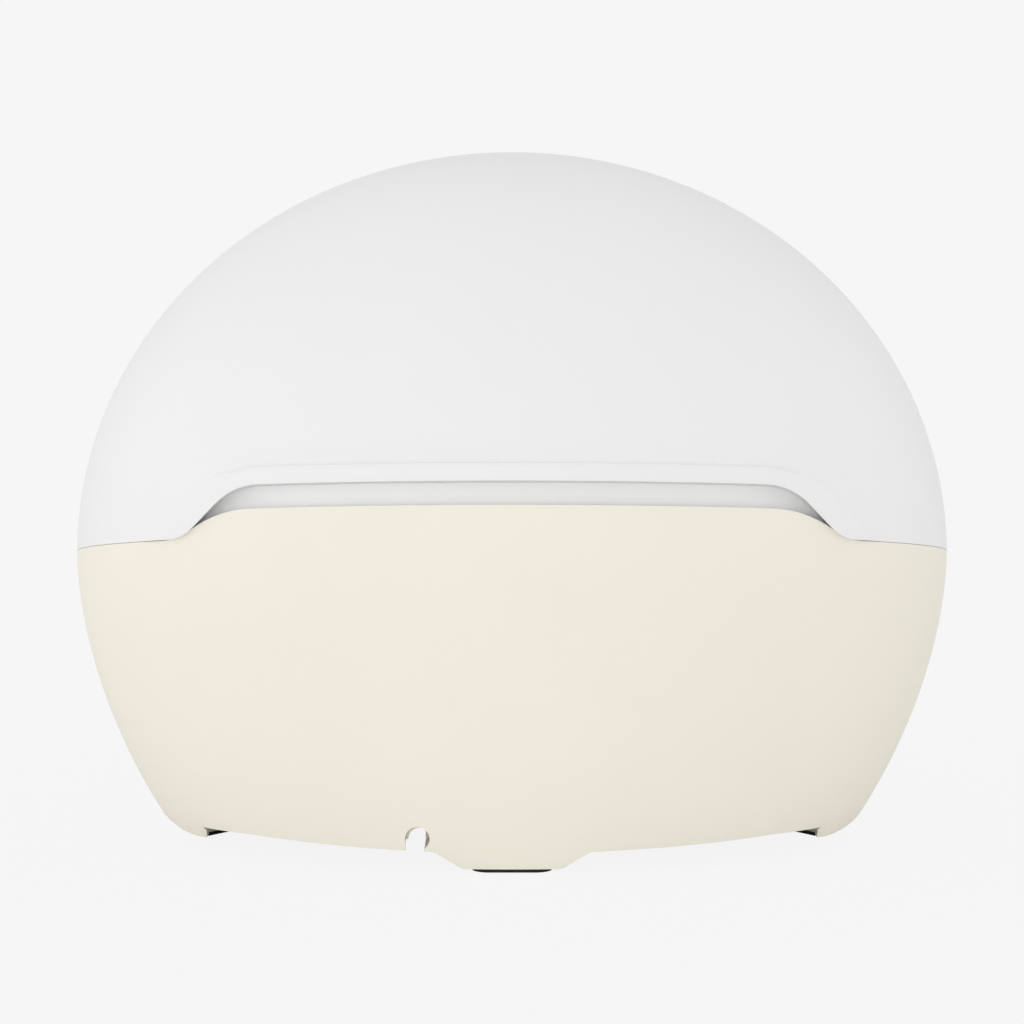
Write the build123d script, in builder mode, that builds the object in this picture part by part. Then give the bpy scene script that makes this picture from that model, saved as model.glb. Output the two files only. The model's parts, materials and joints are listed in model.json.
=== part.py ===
from build123d import *
import math
import os

# Sunrise alarm clock: an opal light dome on a moulded casing.
# Millimetres, +Z up, the back faces +Y and the front, with the keys and the display, faces -Y.
# Pieces are drawn round the widest line, and saved with the whole clock's middle over the origin.

os.makedirs("parts", exist_ok=True)

# --- Overall form ---------------------------------------------------------------------------
half_width = 104.0  # middle to the widest point on each side
waist_height = 68.0  # widest line above the table
crown_rise = 96.0  # top of the dome above the widest line
side_drop = 112.6  # vertical half axis of the side curve below the waist
side_power = 1.745  # of that curve, where a plain ellipse has 2
belly_drop = 149.0  # vertical half axis of the front and back curves below the waist
rear_depth = 55.0  # middle to the back
casing_front_depth = 46.0  # middle to the front of the casing
dome_front_depth = 26.0  # middle to the front of the dome

# --- Walls and fits -------------------------------------------------------------------------
case_wall = 2.4
dome_wall = 2.2
deck_wall = 2.4
seam_gap = 0.1  # shadow line between dome and casing
cover_wall = 2.5
fit_gap = 0.3  # between pieces that are dropped into each other
key_gap = 0.3  # round a key in its hole
running_gap = 0.05  # round a switch plunger in its bore

# --- Seam between dome and casing, a plane that rises towards the back -----------------------
deck_height = 68.7
deck_tilt = 9.9

# --- Raised tab of the casing and the lipped recess of the dome above it ----------------------
tab_height = 6.5
tab_half_top = 67.2  # to the corner of its outline, before rounding
tab_slope = 34.0
recess_height = 11.9
recess_half_top = 63.6
recess_slope = 44.0
recess_depth = 4.5
lip_band = 4.0  # width of the raised lip above the recess
lip_half_top = 70.0
lip_slope = 53.0
lip_rise = 1.4
lip_foot = 1.2  # radius of the hollow where the lip meets the dome
vent_half_length = 72.0

# --- Underside ------------------------------------------------------------------------------
foot_thickness = 1.0
rim_middle = 4.8  # lower edge of the casing, which arches up from the middle
rim_side = 6.5
rim_flat = 60.0  # where that edge turns level
rear_lug_half_top = 17.9
rear_lug_half_bottom = 11.4
rear_lug_round = 4.0
rear_lug_depth = 12.0
side_lug_width = 13.0
side_lug_start = 38.0
side_lug_wall = 74.0  # its slanting rear end starts here
side_lug_end = 3.0
side_lug_run = 8.0
side_lug_fall = 10.6
side_lug_slope = 46.0
side_lug_margin = 1.7  # from its outline's corner out to the casing's own outline
side_lug_round = 14.0
skirt_x = 72.2  # from here outwards the wall's rim comes down, to hide the lug
skirt_bottom = 3.75
skirt_middle = (79.5, 4.85)
skirt_end = (85.4, 7.9)
rear_foot_length = 18.2
rear_foot_width = 8.0
side_foot_width = 6.0
side_foot_inset = 9.5

# --- Cord outlet and power inlet ---------------------------------------------------------------
cord_x = 21.5
notch_width = 5.6
notch_top = 10.75
catch_width = 1.3  # the small hook that keeps the cord in its notch
catch_top = 7.3
channel_shift = 0.6  # of the channel's arch, inwards and down from the notch
bay_width = 13.0
bay_start = 8.0
bay_end = 35.5
bay_wall = 1.2
jack_width = 9.0
jack_length = 14.4
jack_height = 10.8
jack_bore = 3.15
jack_bore_depth = 10.0
jack_axis_drop = 6.5  # below the board that carries it
jack_pin_radius = 1.0
plug_radius = 5.0

# --- Front window, its grille, cloth and display ------------------------------------------------
window_half_width = 76.0
window_height = 38.0
window_middle = 34.0
cloth_inset = 0.2
cloth_thickness = 0.8
grille_wall = 2.2
grille_flange = 3.5
digit_height = 17.0
digit_width = 8.6
digit_stroke = 1.9
digit_pitch = 12.4
display_length = 53.0
display_height = 21.0
display_depth = 7.0
board_wall = 1.6

segment_wall = 0.5
display_post_x = 32.5
slot_count = 6
slot_pitch = 4.6
slot_height = 2.4
slot_length = 28.0

# --- Keys in the front ledge ----------------------------------------------------------------------
key_rise = 1.6
key_travel = 1.0
key_flange = 1.25
key_flange_wall = 1.4
bar_length = 58.0
bar_width = 9.0
side_key_radius = 5.0
side_key_x = 46.0
bar_switch_x = 18.0
switch_size = 6.0
switch_height = 3.5
plunger_radius = 1.75
plunger_rise = 1.9
plunger_depth = 1.3  # how far it reaches into its switch at rest
key_board_drop = 10.4  # from the top of the deck to the top of the board
key_post_x = 35.0

# --- Lamp under the dome ---------------------------------------------------------------------------------
tray_wall = 1.5
spreader_wall = 2.0
lamp_length = 126.0
lamp_width = 20.0
lamp_y = 8.0
lamp_cover_height = 14.0
lamp_cover_wall = 1.5
reflector_inset = 16.0
reflector_wall = 1.5
reflector_start = 6.0
ribbon_width = 12.0
ribbon_slot = 1.4

# --- Speaker ------------------------------------------------------------------------------------------
speaker_x = 55.0
speaker_z = 33.5
speaker_radius = 16.0
speaker_seat = 3.1  # gasket thickness at the middle
speaker_flange_wall = 2.0
speaker_ear_radius = 3.2
speaker_boss_radius = 2.6
clamp_radius = speaker_radius + 1.8  # from the middle to each ear's screw
gasket_width = 1.3
basket_neck = 8.0
basket_drop = 10.0
surround_width = 2.6
cone_radius = speaker_radius - 3 - surround_width
magnet_radius = 10.0
magnet_wall = 7.5
chamber_wall = 1.2
chamber_depth = 19.0

# --- Boards and screws --------------------------------------------------------------------------------
main_board_height = 20.0
main_board_length = 100.0
main_board_width = 44.0
main_board_y = 14.0
standoff_radius = 3.2
dome_post_height = 14.0
post_rib = 14.0
post_top = 16.0
post_radius = 3.6
screw_radius = 1.25
screw_head_radius = 2.6
screw_head_height = 1.8
screw_gap = 0.05

deck_sin = math.sin(math.radians(deck_tilt))
deck_cos = math.cos(math.radians(deck_tilt))
deck = Plane(origin=(0, 0, deck_height), x_dir=(1, 0, 0), z_dir=(0, -deck_sin, deck_cos))
rear_view = Plane(origin=deck.origin, x_dir=(-1, 0, 0), z_dir=deck.y_dir)
cover_bottom = rim_side + 0.2
cover_top = cover_bottom + cover_wall
grille_front = cloth_inset + cloth_thickness + 0.2
grille_back = grille_front + grille_wall
middle_y = (rear_depth - casing_front_depth) / 2  # of the whole depth, behind the widest line
reach = 2 * (half_width + crown_rise)  # larger than the whole clock


def side_share(height):
    """Part of its full width that a level section keeps at a height."""
    if height >= waist_height:
        return math.sqrt(1 - ((height - waist_height) / crown_rise) ** 2)
    return math.sqrt(1 - ((waist_height - height) / side_drop) ** side_power)


def belly_share(height):
    """Part of its full depth that a level section keeps at a height."""
    if height >= waist_height:
        return side_share(height)
    return math.sqrt(1 - ((waist_height - height) / belly_drop) ** 2)


def front_y(x, height, inset):
    """Where the casing's front lies at a place across and a height, with the surface set in."""
    across = half_width * side_share(height) - inset
    depth = casing_front_depth * belly_share(height) - inset
    return -depth * math.sqrt(1 - (x / across) ** 2)


def deck_point(x, y):
    """The place on the tilted deck that lies above a place in plan."""
    return (x, y / deck_cos)


def casing_form(inset):
    """The casing's body, lofted through level ellipses, with its surface set in."""
    levels = [0, 0.25, 0.5, 0.75, 1]
    heights = [k * waist_height for k in levels] + [waist_height + 0.15 * crown_rise,
                                                   waist_height + 0.3 * crown_rise]
    with BuildPart() as form:
        for height in heights:
            across = half_width * side_share(height) - inset
            rear = rear_depth * belly_share(height) - inset
            front = casing_front_depth * belly_share(height) - inset
            with BuildSketch(Plane.XY.offset(height)):
                with BuildLine():
                    EllipticalCenterArc((0, 0), across, rear, start_angle=0, arc_size=180)
                    EllipticalCenterArc((0, 0), across, front, start_angle=180, arc_size=180)
                make_face()
        loft()
    return form.part


def dome_half(inset, depth):
    """Half of the dome's body, a half turn of its outline squeezed to its depth, towards +Y."""
    across = half_width - inset
    with BuildPart() as half:
        with BuildSketch(Plane.XZ):
            with BuildLine():
                EllipticalCenterArc((0, waist_height), across, crown_rise - inset,
                                    start_angle=0, arc_size=90)
                EllipticalCenterArc((0, waist_height), across, side_drop - inset,
                                    start_angle=270, arc_size=90)
                Line((0, waist_height + crown_rise - inset), (0, waist_height - side_drop + inset))
            make_face()
        revolve(axis=Axis.Z, revolution_arc=180)
        scale(by=(1, (depth - inset) / across, 1))
    return half.part


def dome_form(inset):
    """The dome's body, deep at the back and flatter at the front, with its surface set in."""
    with BuildPart() as form:
        add(dome_half(inset, rear_depth))
        add(mirror(dome_half(inset, dome_front_depth), about=Plane.XZ))
    return form.part


def slab(low, high):
    """Level space between two heights."""
    with BuildPart() as space:
        with BuildSketch(Plane.XY.offset(low)):
            Rectangle(reach, reach)
        extrude(amount=high - low)
    return space.part


def deck_slab(low, high):
    """Space between two heights above the tilted deck."""
    with BuildPart() as space:
        with BuildSketch(deck.offset(low)):
            Rectangle(reach, reach)
        extrude(amount=high - low)
    return space.part


def rear_prism(half_top, height, slope, low_share, top_share, lift=0.0):
    """Space behind a flat-topped, round-shouldered outline, looking along the deck to the back."""
    run = height / math.tan(math.radians(slope))
    side = height / math.sin(math.radians(slope))
    turn = math.tan(math.radians(slope) / 2)
    low_radius = low_share * side / turn
    top_radius = top_share * side / turn
    foot = half_top + run
    end = foot + low_share * side + 10
    with BuildPart() as space:
        with BuildSketch(rear_view):
            with BuildLine():
                FilletPolyline((-end, lift), (-foot, lift), (-half_top, height), (half_top, height),
                               (foot, lift), (end, lift),
                               radius=[low_radius, top_radius, top_radius, low_radius])
                Polyline((end, lift), (end, -5), (-end, -5), (-end, lift))
            make_face()
        extrude(amount=reach)
    return space.part


def touches(place, form):
    """Whether a place lies on the surface of a form."""
    spot = Vertex(place)
    return min(face.distance_to(spot) for face in form.faces()) < 0.01


def screw(plane, length):
    """A pan-head screw, its head's underside on the plane and its shank along the plane's -z."""
    with BuildPart() as piece:
        with BuildSketch(plane):
            Circle(screw_head_radius)
        extrude(amount=screw_head_height)
        crown = piece.faces().sort_by(Axis(plane.origin, plane.z_dir))[-1]
        chamfer(crown.edges(), screw_head_height / 3)
        with BuildSketch(plane):
            Circle(screw_radius)
        extrude(amount=-length)
    return piece.part


def screw_group(planes, length):
    """Equal screws as one piece."""
    with BuildPart() as group:
        for plane in planes:
            add(screw(plane, length))
    return group


def save(piece, name):
    """Label a finished piece and write it, with the whole clock's middle over the origin."""
    placed = piece.part.moved(Location((0, -middle_y, 0)))
    placed.label = name
    export_step(placed, f"parts/{name}.step")


# --- Shared spaces ---------------------------------------------------------------------------
casing_outside = casing_form(0)
casing_inside = casing_form(case_wall)
casing_core = casing_form(case_wall / 2)  # ends inside the wall, so what meets it fuses
dome_outside = dome_form(0)
dome_inside = dome_form(dome_wall)
dome_core = dome_form(dome_wall / 2)
above_deck = deck_slab(0, reach)
tab_space = rear_prism(tab_half_top, tab_height, tab_slope, 0.27, 0.68)
recess_space = rear_prism(recess_half_top, recess_height, recess_slope, 0.18, 0.34, seam_gap)
liner_space = rear_prism(recess_half_top + dome_wall, recess_height + dome_wall, recess_slope,
                         0.18, 0.34)
lip_space = rear_prism(lip_half_top, recess_height + lip_band, lip_slope, 0.02, 0.7)

# --- Places ----------------------------------------------------------------------------------
ledge_y = 0.6 - (dome_front_depth + casing_front_depth) / 2
side_key_y = ledge_y * math.sqrt(1 - (side_key_x / half_width) ** 2)
bar_place = deck_point(0, ledge_y)
side_key_places = [deck_point(side * side_key_x, side_key_y) for side in (-1, 1)]
key_posts = [(side * key_post_x, ledge_y + 2.5) for side in (-1, 1)]
casing_posts = [(62, 27), (-62, 27), (44, -15), (-44, -15)]
dome_posts = [(94.5, 6), (-94.5, 6), (45, -14), (-45, -14)]
led_posts = [(58, lamp_y), (-58, lamp_y)]
board_x = main_board_length / 2 - 5
board_posts = [(board_x, main_board_y + 14), (-board_x, main_board_y + 14),
               (board_x - 12, main_board_y - 17), (-board_x, main_board_y - 17)]
display_posts = [(display_post_x, window_middle), (-display_post_x, window_middle)]
ribbon_place = deck_point(0, lamp_y + lamp_width / 2 + 3.3)
jack_height_z = main_board_height - jack_axis_drop
bay_top = jack_height_z + plug_radius
jack_mouth = bay_start - bay_wall - 0.2
lug_start = rear_depth * belly_share(0) - rear_lug_depth
lug_end = rear_lug_half_top + rear_lug_round / 2
lug_rim = rim_middle + (rim_side - rim_middle) * (rear_lug_half_top / rim_flat) ** 2
side_lug_foot = half_width * side_share(foot_thickness) - side_lug_margin
notch_axis = notch_top - notch_width / 2
led_level = tray_wall + spreader_wall  # underside of the lamp board above the deck
digits_front = front_y(display_length / 2, window_middle - display_height / 2,
                       cloth_inset + cloth_thickness + 0.3)
display_board_y = digits_front + display_depth

# --- Casing: walls, deck, tab and feet lugs, one moulding ----------------------------------------
with BuildPart() as above_casing:
    add(above_deck)
    add(tab_space, mode=Mode.SUBTRACT)

with BuildPart() as window_space:
    with BuildSketch(Plane.XZ):
        with Locations((0, window_middle)):
            SlotOverall(2 * window_half_width, window_height)
    extrude(amount=reach)

with BuildPart() as deck_plate:
    add(casing_core)
    add(deck_slab(-deck_wall, 0), mode=Mode.INTERSECT)

with BuildPart() as vent:  # the slot behind the tab, down into the casing
    add(casing_inside)
    add(casing_form(recess_depth), mode=Mode.SUBTRACT)
    add(deck_slab(-2 * deck_wall, 0.1), mode=Mode.INTERSECT)
    with BuildSketch():
        Rectangle(2 * vent_half_length, reach, align=(Align.CENTER, Align.MIN))
    extrude(amount=reach, mode=Mode.INTERSECT)

with BuildPart() as rear_lug:
    with BuildSketch(Plane.XZ.offset(-lug_start)):
        with BuildLine():
            FilletPolyline((-lug_end, lug_rim), (-rear_lug_half_top, lug_rim),
                           (-rear_lug_half_bottom, foot_thickness), (rear_lug_half_bottom, foot_thickness),
                           (rear_lug_half_top, lug_rim), (lug_end, lug_rim), radius=rear_lug_round)
            Polyline((lug_end, lug_rim), (lug_end, cover_top), (-lug_end, cover_top), (-lug_end, lug_rim))
        make_face()
    extrude(amount=-reach)

def lug_end_line(gap):
    """The rear end of a side lug in plan, moved off the lug by a gap."""
    wall = side_lug_wall - gap
    end = side_lug_end + gap
    return [(wall, reach), (wall, end), (wall - side_lug_run, end - side_lug_fall),
            (side_lug_start - gap, end - side_lug_fall)]


with BuildPart() as side_lug:
    lug_slant = (cover_top - foot_thickness) / math.tan(math.radians(side_lug_slope))
    with BuildSketch(Plane.XZ):
        with BuildLine():
            FilletPolyline((side_lug_start, foot_thickness), (side_lug_foot, foot_thickness),
                           (side_lug_foot + lug_slant, cover_top), radius=side_lug_round)
            Polyline((side_lug_foot + lug_slant, cover_top), (side_lug_start, cover_top),
                     (side_lug_start, foot_thickness))
        make_face()
    extrude(amount=reach, both=True)
    add(casing_form(side_lug_width), mode=Mode.SUBTRACT)
    with BuildSketch():
        with BuildLine():
            Polyline(*lug_end_line(0), (side_lug_start, reach), (side_lug_wall, reach))
        make_face()
    extrude(amount=reach, mode=Mode.SUBTRACT)

with BuildPart() as lugs:
    add(rear_lug.part)
    add(side_lug.part)
    add(mirror(side_lug.part, about=Plane.YZ))

with BuildPart() as hollow:
    add(casing_inside)
    add(lugs.part, mode=Mode.SUBTRACT)

with BuildPart() as undercut:
    with BuildSketch(Plane.XZ):
        with BuildLine():
            ThreePointArc((rim_flat, rim_side), (0, rim_middle), (-rim_flat, rim_side))
            for side in (-1, 1):
                Polyline((side * rim_flat, rim_side), (side * skirt_x, rim_side), (side * skirt_x, skirt_bottom))
                ThreePointArc((side * skirt_x, skirt_bottom), (side * skirt_middle[0], skirt_middle[1]),
                              (side * skirt_end[0], skirt_end[1]))
            Polyline((-skirt_end[0], skirt_end[1]), (-reach, skirt_end[1]), (-reach, -1), (reach, -1),
                     (reach, skirt_end[1]), (skirt_end[0], skirt_end[1]))
        make_face()
    extrude(amount=reach, both=True)
    add(lugs.part, mode=Mode.SUBTRACT)

with BuildPart() as casing_post_set:
    with BuildSketch(Plane.XY.offset(cover_top)):
        for x, y in casing_posts:
            with Locations((x, y)):
                Circle(post_radius)
            with Locations((x, y + math.copysign(post_rib / 2, y))):
                Rectangle(2, post_rib)
    extrude(amount=post_top - cover_top)
    add(casing_core, mode=Mode.INTERSECT)

with BuildPart() as casing:
    add(casing_outside)
    add(hollow.part, mode=Mode.SUBTRACT)
    add(undercut.part, mode=Mode.SUBTRACT)
    add(above_casing.part, mode=Mode.SUBTRACT)
    add(deck_plate.part)
    add(casing_post_set.part)
    # posts that hang from the deck, for the key board and the lamp board
    with BuildSketch(deck.offset(-key_board_drop)):
        with Locations([deck_point(x, y) for x, y in key_posts]):
            Circle(3)
    extrude(amount=key_board_drop - deck_wall / 2)
    with BuildSketch(deck.offset(-3 * deck_wall)):
        with Locations([deck_point(x, y) for x, y in led_posts]):
            Circle(3)
    extrude(amount=2.5 * deck_wall)
    # openings
    add(window_space.part, mode=Mode.SUBTRACT)
    add(vent.part, mode=Mode.SUBTRACT)
    with BuildSketch(deck.offset(-2 * deck_wall)):
        with Locations(bar_place):
            SlotOverall(bar_length + 2 * key_gap, bar_width + 2 * key_gap)
        with Locations(side_key_places):
            Circle(side_key_radius + key_gap)
        with Locations(ribbon_place):
            Rectangle(ribbon_width + 1, ribbon_slot)
        with Locations([deck_point(x, y) for x, y in dome_posts]):
            Circle(screw_radius + 0.2)
    extrude(amount=3 * deck_wall, mode=Mode.SUBTRACT)
    with BuildSketch(Plane.XZ.offset(-lug_start - 1)):
        with Locations((cord_x, notch_axis)):
            Circle(notch_width / 2)
            Rectangle(notch_width, notch_axis - catch_top, align=(Align.CENTER, Align.MAX))
        with Locations((cord_x + notch_width / 2, catch_top)):
            Rectangle(notch_width - catch_width, reach, align=(Align.MAX, Align.MAX))
    extrude(amount=-reach, mode=Mode.SUBTRACT)
    # pilot holes
    with BuildSketch(Plane.XY.offset(cover_top)):
        with Locations(casing_posts):
            Circle(screw_radius + screw_gap)
    extrude(amount=post_top - cover_top - 1, mode=Mode.SUBTRACT)
    with BuildSketch(deck.offset(-key_board_drop)):
        with Locations([deck_point(x, y) for x, y in key_posts]):
            Circle(screw_radius + screw_gap)
    extrude(amount=key_board_drop - deck_wall, mode=Mode.SUBTRACT)
    with BuildSketch(deck):
        with Locations([deck_point(x, y) for x, y in led_posts]):
            Circle(screw_radius + screw_gap)
    extrude(amount=-2.5 * deck_wall, mode=Mode.SUBTRACT)

save(casing, "casing")

# --- Bottom cover with the plug bay and the cord's channel -------------------------------------------
with BuildPart() as bottom_cover:
    add(casing_form(case_wall + fit_gap))
    add(slab(cover_bottom, cover_top), mode=Mode.INTERSECT)
    with BuildSketch(Plane.XY.offset(cover_bottom)):
        with Locations((cord_x, bay_start - bay_wall)):
            Rectangle(bay_width + 2 * bay_wall, bay_end - bay_start + 2 * bay_wall,
                      align=(Align.CENTER, Align.MIN))
    extrude(amount=bay_top + bay_wall - cover_bottom)
    with BuildSketch(Plane.XY.offset(cover_bottom)):
        with Locations((cord_x, bay_end)):
            Rectangle(notch_width + 2 * bay_wall, reach, align=(Align.CENTER, Align.MIN))
    extrude(amount=notch_top + bay_wall - cover_bottom)
    with BuildSketch(Plane.XY.offset(cover_top)):
        with Locations(board_posts):
            Circle(standoff_radius)
    extrude(amount=main_board_height - cover_top)
    add(casing_form(case_wall + fit_gap), mode=Mode.INTERSECT)
    # room for the lugs
    with BuildSketch(Plane.XY):
        with Locations((0, lug_start - fit_gap)):
            Rectangle(2 * (lug_end + fit_gap), reach, align=(Align.CENTER, Align.MIN))
    extrude(amount=cover_top + fit_gap, mode=Mode.SUBTRACT)
    for side in (-1, 1):
        with BuildSketch(Plane.XY) as lug_room:
            with BuildLine():
                Polyline(*[(side * x, y) for x, y in lug_end_line(fit_gap)],
                         (side * (side_lug_start - fit_gap), -reach), (side * reach, -reach),
                         (side * reach, reach), (side * (side_lug_wall - fit_gap), reach))
            make_face()
            with BuildLine():
                lug_room_x = half_width * side_share(0) - side_lug_width - fit_gap
                lug_room_y = casing_front_depth * belly_share(0) - side_lug_width - fit_gap
                EllipticalCenterArc((0, 0), lug_room_x, lug_room_y, start_angle=180, arc_size=180)
                Line((-lug_room_x, 0), (-lug_room_x, reach / 4))
                Line((lug_room_x, 0), (lug_room_x, reach / 4))
                Line((-lug_room_x, reach / 4), (lug_room_x, reach / 4))
            make_face(mode=Mode.SUBTRACT)
        extrude(amount=cover_top + fit_gap, mode=Mode.SUBTRACT)
    # plug bay and channel, open below
    with BuildSketch(Plane.XY):
        with Locations((cord_x, bay_start)):
            Rectangle(bay_width, bay_end - bay_start, align=(Align.CENTER, Align.MIN))
    extrude(amount=bay_top, mode=Mode.SUBTRACT)
    with BuildSketch(Plane.XZ.offset(-(bay_end - 1))):
        with Locations((cord_x - channel_shift, notch_axis - channel_shift)):
            Circle(notch_width / 2)
        with Locations((cord_x, notch_axis - channel_shift)):
            Rectangle(notch_width, reach, align=(Align.CENTER, Align.MAX))
    extrude(amount=-reach, mode=Mode.SUBTRACT)
    with BuildSketch(Plane.XZ.offset(-(bay_start + 1))):
        with Locations((cord_x, jack_height_z)):
            Circle(plug_radius - 0.8)
    extrude(amount=bay_wall + 3, mode=Mode.SUBTRACT)
    # screw holes
    with Locations([Location((x, y, cover_bottom), (180, 0, 0)) for x, y in casing_posts]):
        CounterBoreHole(radius=screw_radius + 0.2, counter_bore_radius=screw_head_radius + 0.4,
                        counter_bore_depth=cover_wall / 2, depth=2 * cover_wall)
    with BuildSketch(Plane.XY.offset(main_board_height)):
        with Locations(board_posts):
            Circle(screw_radius + screw_gap)
    extrude(amount=-8, mode=Mode.SUBTRACT)

save(bottom_cover, "bottom_cover")

# --- Dome: opal shell with a raised lip round the recess -----------------------------------------------
with BuildPart() as lip:
    add(dome_form(-lip_rise))
    add(dome_inside, mode=Mode.SUBTRACT)
    add(lip_space, mode=Mode.INTERSECT)

with BuildPart() as recess_liner:
    add(dome_outside)
    add(dome_form(recess_depth + dome_wall), mode=Mode.SUBTRACT)
    add(liner_space, mode=Mode.INTERSECT)

with BuildPart() as recess:
    add(recess_space)
    add(dome_form(recess_depth), mode=Mode.SUBTRACT)

with BuildPart() as dome_post_set:
    with BuildSketch(deck):
        with Locations([deck_point(x, y) for x, y in dome_posts]):
            Circle(post_radius)
    extrude(amount=dome_post_height)
    with BuildSketch(deck.offset(2 * tray_wall)):
        for x, y in dome_posts:
            if abs(x) > half_width / 2:
                with Locations((x + math.copysign(post_rib / 2, x), y / deck_cos)):
                    Rectangle(post_rib, 2)
            else:
                with Locations((x, y / deck_cos + math.copysign(post_rib / 2, y))):
                    Rectangle(2, post_rib)
    extrude(amount=dome_post_height - 2 * tray_wall)
    add(dome_core, mode=Mode.INTERSECT)

with BuildPart() as dome_shell:
    add(dome_outside)
    add(dome_inside, mode=Mode.SUBTRACT)
    add(lip.part)
    add(recess_liner.part)
    add(recess.part, mode=Mode.SUBTRACT)
    add(deck_slab(-reach, seam_gap), mode=Mode.SUBTRACT)
    lip_outline = [edge for edge in dome_shell.edges()
                   if touches(edge @ 0.5, dome_outside) and touches(edge @ 0.5, lip_space)]
    fillet(lip_outline, radius=lip_foot)
    add(dome_post_set.part)
    with BuildSketch(deck):
        with Locations([deck_point(x, y) for x, y in dome_posts]):
            Circle(screw_radius + screw_gap)
    extrude(amount=dome_post_height - 3, mode=Mode.SUBTRACT)

save(dome_shell, "dome_shell")

# --- Lamp ----------------------------------------------------------------------------------------------
with BuildPart() as light_tray:
    add(dome_form(dome_wall + 0.6))
    add(deck_slab(0, tray_wall), mode=Mode.INTERSECT)
    with BuildPart(mode=Mode.PRIVATE) as liner_room:
        add(liner_space)
        add(dome_form(recess_depth + dome_wall + 0.5), mode=Mode.SUBTRACT)
    add(liner_room.part, mode=Mode.SUBTRACT)
    with BuildSketch(deck):
        with Locations([deck_point(x, y) for x, y in dome_posts]):
            Circle(post_radius + fit_gap)
        with Locations([deck_point(x, y) for x, y in led_posts]):
            Circle(screw_radius + 0.2)
        with Locations(ribbon_place):
            Rectangle(ribbon_width + 1, ribbon_slot)
    extrude(amount=tray_wall, mode=Mode.SUBTRACT)

save(light_tray, "light_tray")

with BuildPart() as heat_spreader:
    with BuildSketch(deck.offset(tray_wall)):
        with Locations(deck_point(0, lamp_y)):
            RectangleRounded(lamp_length + 4, lamp_width + 4, 3)
        with Locations([deck_point(x, y) for x, y in led_posts]):
            Circle(screw_radius + 0.2, mode=Mode.SUBTRACT)
    extrude(amount=spreader_wall)

save(heat_spreader, "heat_spreader")

with BuildPart() as lamp_board:
    with BuildSketch(deck.offset(led_level)):
        with Locations(deck_point(0, lamp_y)):
            RectangleRounded(lamp_length, lamp_width, 2)
        with Locations([deck_point(x, y) for x, y in led_posts]):
            Circle(screw_radius + 0.2, mode=Mode.SUBTRACT)
    extrude(amount=board_wall)

save(lamp_board, "lamp_board")

with BuildPart() as lamp_leds:
    with BuildSketch(deck.offset(led_level + board_wall)):
        with Locations(deck_point(0, lamp_y)):
            with GridLocations(lamp_length / 9, lamp_width / 3 + 1, 8, 2):
                Rectangle(5, 5)
    extrude(amount=1)

save(lamp_leds, "lamp_leds")

with BuildPart() as lamp_cover:
    with BuildSketch(deck.offset(tray_wall)):
        with Locations(deck_point(0, lamp_y)):
            SlotOverall(lamp_length + 22, lamp_width + 14)
    extrude(amount=lamp_cover_height)
    fillet(lamp_cover.faces().sort_by(Axis(deck.origin, deck.z_dir))[-1].edges(), 4)
    with BuildSketch(deck.offset(tray_wall)):
        with Locations(deck_point(0, lamp_y)):
            SlotOverall(lamp_length + 22 - 2 * lamp_cover_wall, lamp_width + 14 - 2 * lamp_cover_wall)
    extrude(amount=lamp_cover_height - lamp_cover_wall, mode=Mode.SUBTRACT)

save(lamp_cover, "lamp_cover")

with BuildPart() as reflector:
    add(dome_form(reflector_inset))
    add(dome_form(reflector_inset + reflector_wall), mode=Mode.SUBTRACT)
    add(deck_slab(tray_wall, reach), mode=Mode.INTERSECT)
    with BuildSketch(Plane.XZ.offset(-reflector_start)):
        Rectangle(reach, 2 * reach)
    extrude(amount=-reach, mode=Mode.INTERSECT)

save(reflector, "reflector")

# --- Front grille, cloth and display ----------------------------------------------------------------------
def on_grille(x, height):
    """A point on the inner face of the grille."""
    return Vector(x, front_y(x, height, grille_back), height)


# the speaker faces out square to the grille's inner face
level_run = on_grille(speaker_x + 1, speaker_z) - on_grille(speaker_x - 1, speaker_z)
steep_run = on_grille(speaker_x, speaker_z + 1) - on_grille(speaker_x, speaker_z - 1)
speaker_normal = level_run.cross(steep_run).normalized()
speaker_plane = Plane(origin=on_grille(speaker_x, speaker_z) - speaker_normal * speaker_seat,
                      x_dir=level_run, z_dir=speaker_normal)
speaker_axis = Axis(speaker_plane.origin, speaker_plane.z_dir)
speaker_section = Plane(origin=speaker_plane.origin, x_dir=speaker_plane.x_dir,
                        z_dir=-speaker_plane.y_dir)

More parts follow.
